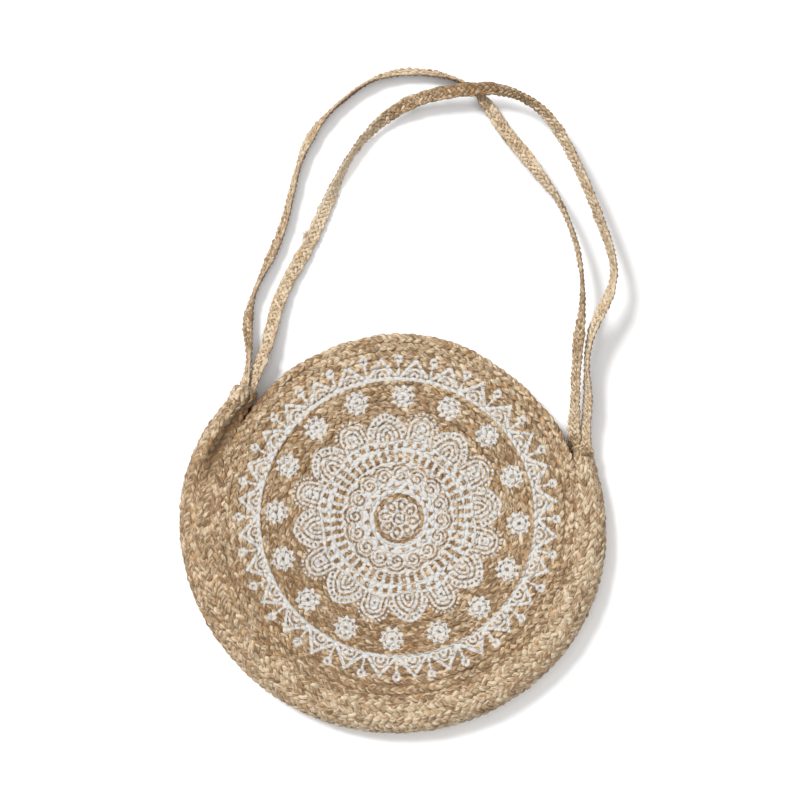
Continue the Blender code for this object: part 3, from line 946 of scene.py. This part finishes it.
def jute_material(name, bump, printed=False):
    """Jute yarn material, with or without the print over it."""
    material = bpy.data.materials.new(name)
    material.use_nodes = True
    tree = material.node_tree
    place = tree.nodes.new("ShaderNodeTexCoord").outputs["Object"]
    yarn_map = tree.nodes.new("ShaderNodeUVMap")
    yarn_map.uv_map = "Yarn"
    yarn = tree.nodes.new("ShaderNodeGroup")
    yarn.node_tree = shared_group("jute_yarn", jute_group)
    lift = attribute(tree, "lift")
    tint = attribute(tree, "tint")
    feed(tree, yarn, {"Map": yarn_map.outputs[0], "Place": place, "Tint": tint, "Lift": lift})
    colour = yarn.outputs["Color"]
    height = Field(tree, yarn.outputs["Height"])
    roughness = Field(tree, yarn.outputs["Roughness"])
    if printed:
        drawn = tree.nodes.new("ShaderNodeGroup")
        drawn.node_tree = shared_group("round_print", mandala_group)
        feed(tree, drawn, {"Place": place})
        worn = noise(tree, place, 700.0, 3.0, 0.6)
        reach = (lift + (worn - 0.5) * 0.8).ramp(-0.95, -0.6)
        mask = Field(tree, drawn.outputs["Mask"]) * reach
        thin = (worn * 0.5 + height * 0.5).ramp(0.25, 0.5) * 0.25 + 0.75
        colour = blend(tree, mask * thin, colour, attributes_of("bag_colours").paint)
        roughness = roughness + mask * -0.12
        height = height * (1.0 - mask * 0.6) + mask * 0.35
    relief = tree.nodes.new("ShaderNodeBump")
    feed(tree, relief, {"Strength": bump, "Distance": RELIEF, "Height": height})
    feed(tree, tree.nodes["Principled BSDF"], {
        "Base Color": colour,
        "Roughness": roughness,
        "Normal": relief.outputs["Normal"],
        "Specular IOR Level": 0.35,
        "Sheen Weight": 0.08,
    })
    return material


def rim_curve(node):
    """Outer radius of a disc node at its own facet corners, as bearings and radii."""
    points = mesh_points(node)
    radius = np.hypot(points[:, 0], points[:, 1])
    bearing = np.arctan2(points[:, 0], points[:, 1]) % (2 * math.pi)
    outer = radius > radius.max() * 0.95
    facets = 72
    slot = np.round(bearing / (2 * math.pi) * facets).astype(int) % facets
    reach = np.zeros(facets)
    np.maximum.at(reach, slot[outer], radius[outer])
    bearings = 2 * math.pi * np.arange(facets + 1) / facets
    return bearings, np.append(reach, reach[0])


def smooth_step(share):
    """Ease from 0 to 1."""
    share = np.clip(share, 0, 1)
    return share * share * (3 - 2 * share)


def from_crease(points):
    """Radius of each point, the radius of the valley's line at its bearing and the valley's share there."""
    bearing = np.degrees(np.arctan2(points[..., 0], points[..., 1])) % 360
    bearings, radii, shares = zip(*CREASE)
    radius = np.hypot(points[..., 0], points[..., 1])
    return radius, np.interp(bearing, bearings, radii), np.interp(bearing, bearings, shares)


def creased(points, normals):
    """Points with the valley beside the left fold pressed in and the fold outside it raised.

    Both are bells, exp(-x x), of the distance from the valley's line, as strong as the surface
    faces up. The normals lean with the slope.
    """
    radius, middle, share = from_crease(points)
    share = share * np.clip(normals[..., 2], 0, 1)
    inner = (radius - middle) / VALLEY[1]
    outer = (radius - middle - RIDGE[2]) / RIDGE[1]
    valley = VALLEY[0] * np.exp(-inner * inner) * share
    ridge = RIDGE[0] * np.exp(-outer * outer) * share
    slope = 2 * inner / VALLEY[1] * valley - 2 * outer / RIDGE[1] * ridge
    moved = points.copy()
    moved[..., 2] += ridge - valley
    leaning = normals.copy()
    leaning[..., :2] -= (slope / radius)[..., None] * points[..., :2]
    return moved, unit(leaning)


def onto_disc(node, flat, from_above):
    """Where upright rays through flat places meet the outer face of a disc node, and its normals."""
    way = np.array((0.0, 0.0, -1.0 if from_above else 1.0))
    return cast(tree_of(node), flat - way * RAY_START, np.tile(way, (len(flat), 1)))


def spiral_path(node, inset, from_above, rng):
    """One row of braid wound from the rim of a disc node to its middle.

    A plain spiral falls by one pitch each turn. Near the rim the rows run beside it instead, and
    all step inwards together round the bearing where the braid starts as a pointed tip that
    widens to fill the step. The outline follows the node's rim. The path lies `inset` under its face.
    """
    braid = attributes_of("bag_braid")
    pitch = braid.row_pitch
    bearings, reach = rim_curve(node)
    outer = float(np.mean(reach[:-1]))
    last = outer / pitch - 0.5 - HUB_ROWS
    turn = np.linspace(-STEP_TURNS, last, int(last * TURN_POINTS))
    lap = np.floor(turn + STEP_TURNS)
    over = smooth_step((turn + STEP_TURNS - lap) / (2 * STEP_TURNS))
    stepped = np.where(lap == 0, (over - 1) / 2, lap - 1 + over)
    full = np.where(lap == 0, np.maximum(over, TIP_WIDTH), 1.0)
    follow = np.clip(1 - (turn - 1 - STEP_TURNS) / STEPPED_ROWS, 0, 1)
    rows_out = turn * (1 - follow) + stepped * follow
    radius = outer - pitch * (0.5 + rows_out)
    bearing = turn * 2 * math.pi + math.radians(BRAID_START)
    length = np.concatenate(((0,), np.cumsum(np.diff(bearing) * radius[1:])))
    stray = wander(length, ROW_WAVES[0], braid.unevenness, rng)
    radius = radius + stray * np.clip(radius / pitch / 3 - 1, 0, 1)
    outline = np.interp(bearing % (2 * math.pi), bearings, reach) / outer
    radius = radius * (1 + (outline - 1) * np.clip(radius / outer, 0, 1) ** 2)
    flat = np.concatenate((compass(bearing) * radius[:, None], np.zeros((len(turn), 1))), axis=1)
    flat, full, stops = resample(flat, full[:, None])
    radius = np.hypot(flat[:, :1], flat[:, 1:2])
    edge = np.interp(np.arctan2(flat[:, :1], flat[:, 1:2]) % (2 * math.pi), bearings, reach)
    inside = flat * np.minimum(1, (edge - RIM_MARGIN) / radius)
    hits, normals = onto_disc(node, inside, from_above)
    hits[:, :2] = flat[:, :2]
    if from_above:
        hits, normals = creased(hits, normals)
    path = hits - normals * inset
    path[:, 2] = smooth_path(path[:, 2:], 6)[:, 0] + wander(stops, ROW_WAVES[1], braid.unevenness, rng)
    normals = unit(smooth_path(normals, 12))
    ahead = unit(np.gradient(path, axis=0))
    across = unit(np.cross(normals, ahead))
    return path, across, normals, stops, full[:, 0] * pitch * braid.fullness


def disc_grid(node, inset, from_above):
    """Rows of points from the middle to near the rim of a disc node, `inset` under its face."""
    bearings, reach = rim_curve(node)
    shares = np.linspace(*DISC_RINGS)
    spokes = compass(bearings)
    flat = shares[:, None, None] * (reach - SLAB_MARGIN)[None, :, None] * spokes[None]
    flat = np.concatenate((flat, np.zeros(flat.shape[:2] + (1,))), axis=2).reshape(-1, 3)
    hits, normals = onto_disc(node, flat, from_above)
    if from_above:
        hits, normals = creased(hits, normals)
    grid = (hits - normals * inset).reshape(len(shares), len(bearings), 3)
    normals = normals.reshape(grid.shape)
    if from_above:
        grid, normals = grid[:, ::-1], normals[:, ::-1]
    return grid, normals


def lay_spiral(node, from_above, steps, sides, look, split=0.0):
    """Yarns of a wound disc, in one lot or parted at a share of its radius."""
    rng = np.random.default_rng(SEEDS[node])
    shape = row_shape(ROW_SHARE)
    inset = shape.thick + shape.heave
    path, across, up, stops, half_width = spiral_path(node, inset, from_above, rng)
    lots = []
    ranges = [slice(0, len(path))]
    if split:
        inner = np.hypot(path[:, 0], path[:, 1]) < split * np.hypot(*mesh_points(node)[:, :2].T).max()
        change = int(np.argmax(inner))
        ranges = [slice(0, change + 1), slice(change, len(path))]
    for part in ranges:
        yarns = Yarns()
        lay = (path[part], across[part], up[part], stops[part] - stops[part][0])
        laid = plait(*lay, shape, half_width[part], steps, sides, rng, look)
        # Painted light: the front panel's tint rises towards the mouth
        laid[3][...] += laid[0][..., 1] * (PANEL_LIGHT_SLOPE if from_above else 0.0)
        yarns.add(laid)
        yarns.add_strays(laid, PANEL_FIBRES, PANEL_REACH, look.tint + PANEL_STRAY_PALER, rng)
        lots.append(yarns)
    grid, normals = disc_grid(node, inset * SLAB_DEPTH, from_above)
    lots[0].add_slab(grid, normals, look.tint)
    return lots


def gusset_surface():
    """Outer face of the gusset as a grid of points and normals, bearing by bearing.

    At each bearing, rays towards a point inside the hollow meet the outer face.
    """
    points = mesh_points("side_gusset")
    bearing = np.degrees(np.arctan2(points[:, 0], points[:, 1])) % 360
    first, last = bearing.min(), bearing.max()
    bearings = np.radians(np.linspace(first + GUSSET_END, last - GUSSET_END, GUSSET_GRID[0]))
    rim_bearings, reach = rim_curve("front_panel")
    seam = np.interp(bearings, rim_bearings, reach)
    back = float(np.hypot(*mesh_points("back_panel")[:, :2].T).max())
    tree = tree_of("side_gusset")
    angles = np.linspace(0, math.pi, GUSSET_GRID[1])
    spokes = compass(bearings)
    height = points[:, 2].max() * HUB_HEIGHT
    sections = np.empty((len(bearings), len(angles), 3))
    normals = np.empty_like(sections)
    for j, angle in enumerate(angles):
        lean = (1 - math.cos(angle)) / 2
        base = seam + HUB_OUT + (back - seam) * lean
        hub = np.concatenate((spokes * base[:, None], np.full((len(base), 1), height)), axis=1)
        way = np.concatenate((spokes * math.sin(angle), np.full((len(base), 1), math.cos(angle))), axis=1)
        sections[:, j], normals[:, j] = cast(tree, hub + way * HUB_RAY, -way)
    return sections, normals


def gusset_rows(sections, normals, rows, inset):
    """Middle lines of the gusset's rows, which part the length of each section evenly."""
    length = np.linalg.norm(np.diff(sections, axis=1), axis=2).cumsum(axis=1)
    length = np.concatenate((np.zeros((len(sections), 1)), length), axis=1)
    paths = []
    for row in range(rows):
        target = length[:, -1] * (row + (0.5 if row else 0.5 - SEAM_LAP)) / rows
        place = np.empty((len(sections), 3))
        normal = np.empty_like(place)
        for i in range(len(sections)):
            place[i] = between(target[i], length[i], sections[i])
            normal[i] = between(target[i], length[i], normals[i])
        normal = unit(smooth_path(normal, 8))
        place = smooth_path(place, 4) - normal * inset
        width = length[:, -1:] / rows * (1 if row else 1 + SEAM_LAP)
        paths.append((place, normal, width))
    return paths


def ordered_rings(rings):
    """Rings with their corners in order round them and matched from ring to ring, and outward normals."""
    centre = rings.mean(axis=1)
    ahead = unit(np.gradient(centre, axis=0))
    side = unit(np.cross(ahead, (0, 0, 1)))
    away = rings - centre[:, None]
    turn = np.arctan2(away[..., 2], (away * side[:, None]).sum(axis=-1))
    away = np.take_along_axis(away, turn.argsort(axis=1)[..., None], axis=1)
    for i in range(1, len(away)):
        turned = [np.roll(away[i], shift, axis=0) for shift in range(away.shape[1])]
        away[i] = min(turned, key=lambda ring: np.linalg.norm(ring - away[i - 1]))
    rings = centre[:, None] + away
    along_ring = np.roll(rings, -1, axis=1) - np.roll(rings, 1, axis=1)
    return rings, unit(np.cross(ahead[:, None], along_ring))


def narrowed(rings, name):
    """Rings of a folded end drawn in towards the strap that leaves it farthest out."""
    straps = ("strap_back", "strap_front")
    ends = [rings_of(node, CAD_STRAP_SIDES, name)[0].mean(axis=0) for node in straps]
    target = max(ends, key=lambda end: abs(end[0]))
    centre = rings.mean(axis=1, keepdims=True)
    share = smooth_step(np.linspace(FOLD_START, 1, len(rings)))[:, None, None]
    size = 1 - (1 - FOLD_NARROW[name]) * share
    shift = (target - centre[-1, 0]) * share * min(1, (1 - FOLD_NARROW[name]) / 0.5)
    return centre + (rings - centre) * size + shift


def on_ring(ring, shares):
    """Points at shares of a closed ring's length, from its first corner, and the length."""
    closed = np.concatenate((ring, ring[:1]))
    length = run_along(closed[:, :3])
    return between(shares % 1 * length[-1], length, closed), length[-1]


def fold_rows(rings, ring_normals, starts, inset):
    """Rows that go on from the gusset's rows over a folded end.

    At the first ring each row lies next to where the gusset's row ends. From there to the last
    ring the rows spread evenly round the whole end.
    """
    rows = len(starts)
    both = np.concatenate((rings, ring_normals), axis=2)
    fine = np.arange(RING_POINTS) / RING_POINTS
    first = on_ring(both[0], fine)[0][:, :3]
    nearest = [fine[np.linalg.norm(first - start, axis=1).argmin()] for start in starts]
    begin = np.unwrap(np.array(nearest) * 2 * math.pi) / (2 * math.pi)
    span = begin[-1] - begin[0]
    end = begin[rows // 2] + math.copysign(1, span) * (np.arange(rows) - (rows - 1) / 2) / rows
    results = [([], [], []) for _ in range(rows)]
    for ring, share in zip(both, smooth_step(np.linspace(0, FOLD_SPREAD, len(rings)))):
        laid, girth = on_ring(ring, begin + (end - begin) * share)
        width = girth * (abs(span) / (rows - 1) * (1 - share) + share / rows)
        for row, (place, normal) in enumerate(zip(laid[:, :3], laid[:, 3:])):
            results[row][0].append(place - unit(normal) * inset)
            results[row][1].append(unit(normal))
            results[row][2].append((width,))
    return [tuple(np.array(values) for values in row) for row in results]


class BAG_OT_front_panel(bpy.types.Operator):
    """Lay the printed front panel's braid in two pieces."""

    bl_idname = "jute_bag.front_panel"
    bl_label = "Front panel"

    def execute(self, context):
        material = jute_material("printed_jute", 0.55, printed=True)
        lots = lay_spiral("front_panel", True, FRONT_STEPS, FRONT_SIDES, PANEL_LOOK, FRONT_SPLIT)
        lots[0].build("front_panel_outer_rows", material, ("front_panel",))
        lots[1].build("front_panel_inner_rows", material, slot="front_panel")
        return {"FINISHED"}


class BAG_OT_back_panel(bpy.types.Operator):
    """Lay the back panel's braid."""

    bl_idname = "jute_bag.back_panel"
    bl_label = "Back panel"

    def execute(self, context):
        material = jute_material("back_jute", 0.5)
        lots = lay_spiral("back_panel", False, BACK_STEPS, BACK_SIDES, BACK_LOOK)
        lots[0].build("back_panel_rows", material, ("back_panel",))
        return {"FINISHED"}


class BAG_OT_side_wall(bpy.types.Operator):
    """Lay the gusset's rows and lead them on over its two folded ends."""

    bl_idname = "jute_bag.side_wall"
    bl_label = "Side gusset and its folded ends"

    def execute(self, context):
        braid = attributes_of("bag_braid")
        material = jute_material("gusset_jute", 0.6)
        rng = np.random.default_rng(SEEDS["side_gusset"])
        shape = row_shape(GUSSET_SHARE, GUSSET_THICKER)
        inset = shape.thick + shape.heave
        sections, normals = creased(*gusset_surface())
        rows = gusset_rows(sections, normals, GUSSET_ROWS, inset)
        names = ("strap_anchor_right", "side_gusset", "strap_anchor_left")
        lots = {name: Yarns() for name in names}
        folds = []
        for name, end in ((names[0], 0), (names[2], -1)):
            rings, ring_normals = ordered_rings(rings_of(name, CAD_ANCHOR_SIDES, "side_gusset"))
            rings, ring_normals = creased(narrowed(rings, name), ring_normals)
            starts = np.array([row[0][end] for row in rows])
            folds.append(fold_rows(rings, ring_normals, starts, inset))
            core = (rings - ring_normals * inset * SLAB_DEPTH)[:-1]
            lots[name].add_core(core, np.linspace(0, FOLD_CORE_RUN, len(core)), inset, CORE_TINT)
        station = shape.period / GUSSET_STEPS
        shares, tones = zip(*GUSSET_TINTS)
        for row, middle in enumerate(rows):
            chain = ([values[::-1] for values in folds[0][row]], middle, folds[1][row])
            place, normal, width = (np.concatenate([link[i] for link in chain]) for i in range(3))
            length = run_along(place)
            seams = [length[len(chain[0][0])], length[-len(chain[2][0]) - 1]]
            path, up, width, stops = resample(place, normal, width)
            order = names
            if row % 2:
                path, up, width = path[::-1], up[::-1], width[::-1]
                seams = [stops[-1] - seams[1], stops[-1] - seams[0]]
                order = names[::-1]
            path = smooth_path(path, WALL_PASSES)
            up = unit(smooth_path(up, WALL_PASSES))
            across = unit(np.cross(up, unit(np.gradient(path, axis=0))))
            half_width = smooth_path(width, WALL_PASSES)[:, 0] * braid.fullness
            fineness = (GUSSET_STEPS, GUSSET_SIDES)
            laid = plait(path, across, up, stops, shape, half_width, *fineness, rng, GUSSET_LOOK)
            # Painted shade: the tint along the run darkens towards the left side
            run = np.linspace(0, 1, laid[0].shape[1])
            tone = np.interp(run[::-1] if row % 2 else run, shares, tones)
            laid[3][...] += tone[None, :, None]
            cuts = [0, *(int(round(seam / station)) for seam in seams), laid[0].shape[1] - 1]
            for name, first, last in zip(order, cuts[:-1], cuts[1:]):
                stretch = part_of(laid, first, last, 0.0 if name == names[1] else FOLD_PALER)
                lots[name].add(stretch)
                if name == names[1]:
                    lots[name].add_strays(stretch, GUSSET_FIBRES, GUSSET_REACH, GUSSET_STRAY_TINT, rng)
                    continue
                lots[name].add_strays(stretch, FOLD_FIBRES, FOLD_REACH, GUSSET_STRAY_TINT, rng)
                if row in (0, 1):
                    lots[name].add_tufts(stretch, FOLD_TUFT_TINT, rng)
        grid, normals = sections[::-3, ::3], normals[::-3, ::3]
        lots["side_gusset"].add_slab(grid - normals * inset * SLAB_DEPTH, normals, CORE_TINT)
        for name, yarns in lots.items():
            yarns.build(name + "_rows", material, (name,))
        return {"FINISHED"}


class BAG_OT_straps(bpy.types.Operator):
    """Plait the two flat straps along the frame's solids."""

    bl_idname = "jute_bag.straps"
    bl_label = "Straps"

    def execute(self, context):
        strap = attributes_of("bag_strap")
        material = jute_material("strap_jute", 0.5)
        for node in ("strap_back", "strap_front"):
            rings = rings_of(node, CAD_STRAP_SIDES, "strap_anchor_left")
            centre = rings.mean(axis=1)
            gaps = np.linalg.norm(rings[:, :, None] - rings[:, None], axis=-1)
            far = gaps.reshape(len(rings), -1).argmax(axis=1)
            first, second = np.unravel_index(far, gaps.shape[1:])
            index = np.arange(len(rings))
            wide = rings[index, first] - rings[index, second]
            half_width = float(np.linalg.norm(wide, axis=1).mean() / 2)
            wide = unit(wide)
            for i in range(1, len(wide)):
                if wide[i] @ wide[i - 1] < 0:
                    wide[i] = -wide[i]
            inwards = unit(centre[[0, -1]] - centre[[1, -2]]) * STRAP_REACH
            centre = np.concatenate((centre[:1] + inwards[:1], centre, centre[-1:] + inwards[1:]))
            wide = wide[[0, *range(len(wide)), -1]]
            path, across, stops = resample(centre, wide)
            path = smooth_path(path, STRAP_PASSES)
            ahead = unit(np.gradient(path, axis=0))
            up = unit(np.cross(ahead, smooth_path(unit(across), STRAP_TURN_PASSES)))
            across = np.cross(up, ahead)
            yarns = Yarns()
            shape = PlaitShape(strap.yarns, strap.period, strap.yarn, strap.heave, STRAP_SHARE, STRAP_SNAP)
            rng = np.random.default_rng(SEEDS[node])
            size = (half_width * STRAP_WIDER, STRAP_STEPS, STRAP_SIDES)
            laid = plait(path, across, up, stops, shape, *size, rng, STRAP_LOOK)
            shares, tones = zip(*STRAP_TINTS[node])
            run = np.linspace(0, 1, laid[0].shape[1])
            laid[3][...] += np.interp(run, shares, tones)[None, :, None]
            yarns.add(laid)
            corners = np.array(((-1, -1), (-1, 1), (1, 1), (1, -1)))
            corners = corners * (half_width * RIBBON[0], strap.yarn * RIBBON[1])
            ribbon = path[:, None] - across[:, None] * corners[:, :1] + up[:, None] * corners[:, 1:]
            yarns.add_core(ribbon, stops, strap.yarn, RIBBON_TINT)
            yarns.add_strays(laid, STRAP_FIBRES, STRAP_STRAY_REACH, STRAP_STRAY_TINT, rng)
            yarns.add_tufts(laid, STRAP_TUFT_TINT, rng)
            yarns.build(node + "_plait", material, (node,))
        return {"FINISHED"}


class BAG_OT_stage(bpy.types.Operator):
    """Make the floor, the lights and the camera."""

    bl_idname = "jute_bag.stage"
    bl_label = "Stage"

    def execute(self, context):
        scene = context.scene
        mesh = bpy.data.meshes.new("floor")
        corners = [(x * FLOOR_HALF, y * FLOOR_HALF, 0) for x, y in ((-1, -1), (1, -1), (1, 1), (-1, 1))]
        mesh.from_pydata(corners, [], [(0, 1, 2, 3)])
        material = bpy.data.materials.new("floor")
        material.use_nodes = True
        shader = material.node_tree.nodes["Principled BSDF"]
        feed(material.node_tree, shader, {"Base Color": FLOOR_COLOUR, "Roughness": 0.9})
        mesh.materials.append(material)
        floor = bpy.data.objects.new("floor", mesh)
        scene.collection.objects.link(floor)

        for light in LIGHTS:
            sun = bpy.data.lights.new(light.name, "SUN")
            sun.energy = light.energy
            sun.angle = math.radians(light.size)
            holder = bpy.data.objects.new(light.name, sun)
            scene.collection.objects.link(holder)
            side = compass(math.radians(light.bearing)) * math.cos(math.radians(light.elevation))
            source = Vector((*side, math.sin(math.radians(light.elevation))))
            holder.rotation_mode = "QUATERNION"
            holder.rotation_quaternion = (-source).to_track_quat("-Z", "Y")
            holder.location = source * 2

        world = bpy.data.worlds.new("studio")
        world.use_nodes = True
        sky = world.node_tree.nodes["Background"]
        feed(world.node_tree, sky, {"Color": SKY_COLOUR, "Strength": SKY_STRENGTH})
        scene.world = world

        lens = bpy.data.cameras.new("camera")
        lens.sensor_width = SENSOR_WIDTH
        lens.lens = SENSOR_WIDTH * VIEW_HEIGHT / VIEW_WIDTH
        lens.clip_end = 20
        camera = bpy.data.objects.new("camera", lens)
        camera.location = (*VIEW_CENTRE, VIEW_HEIGHT)
        scene.collection.objects.link(camera)
        scene.camera = camera
        scene.view_settings.view_transform = "Standard"
        return {"FINISHED"}


class BAG_PT_panel(bpy.types.Panel):
    """Sidebar panel that lists the pieces."""

    bl_idname = "BAG_PT_panel"
    bl_label = "Jute bag"
    bl_space_type = "VIEW_3D"
    bl_region_type = "UI"
    bl_category = "Jute bag"

    def draw(self, context):
        for step in STEPS:
            self.layout.operator(step.bl_idname)


STEPS = (
    BAG_OT_front_panel,
    BAG_OT_back_panel,
    BAG_OT_side_wall,
    BAG_OT_straps,
    BAG_OT_stage,
)
SETTINGS = (("bag_braid", BagBraid), ("bag_strap", BagStrap), ("bag_colours", BagColours))


def register():
    for name, group in SETTINGS:
        bpy.utils.register_class(group)
        setattr(bpy.types.Scene, name, bpy.props.PointerProperty(type=group))
    for step in (*STEPS, BAG_PT_panel):
        bpy.utils.register_class(step)


def unregister():
    for step in (BAG_PT_panel, *reversed(STEPS)):
        bpy.utils.unregister_class(step)
    for name, group in reversed(SETTINGS):
        delattr(bpy.types.Scene, name)
        bpy.utils.unregister_class(group)


def main():
    """Build every piece in order."""
    register()
    for step in STEPS:
        family, name = step.bl_idname.split(".")
        getattr(getattr(bpy.ops, family), name)()


if __name__ == "__main__":
    main()
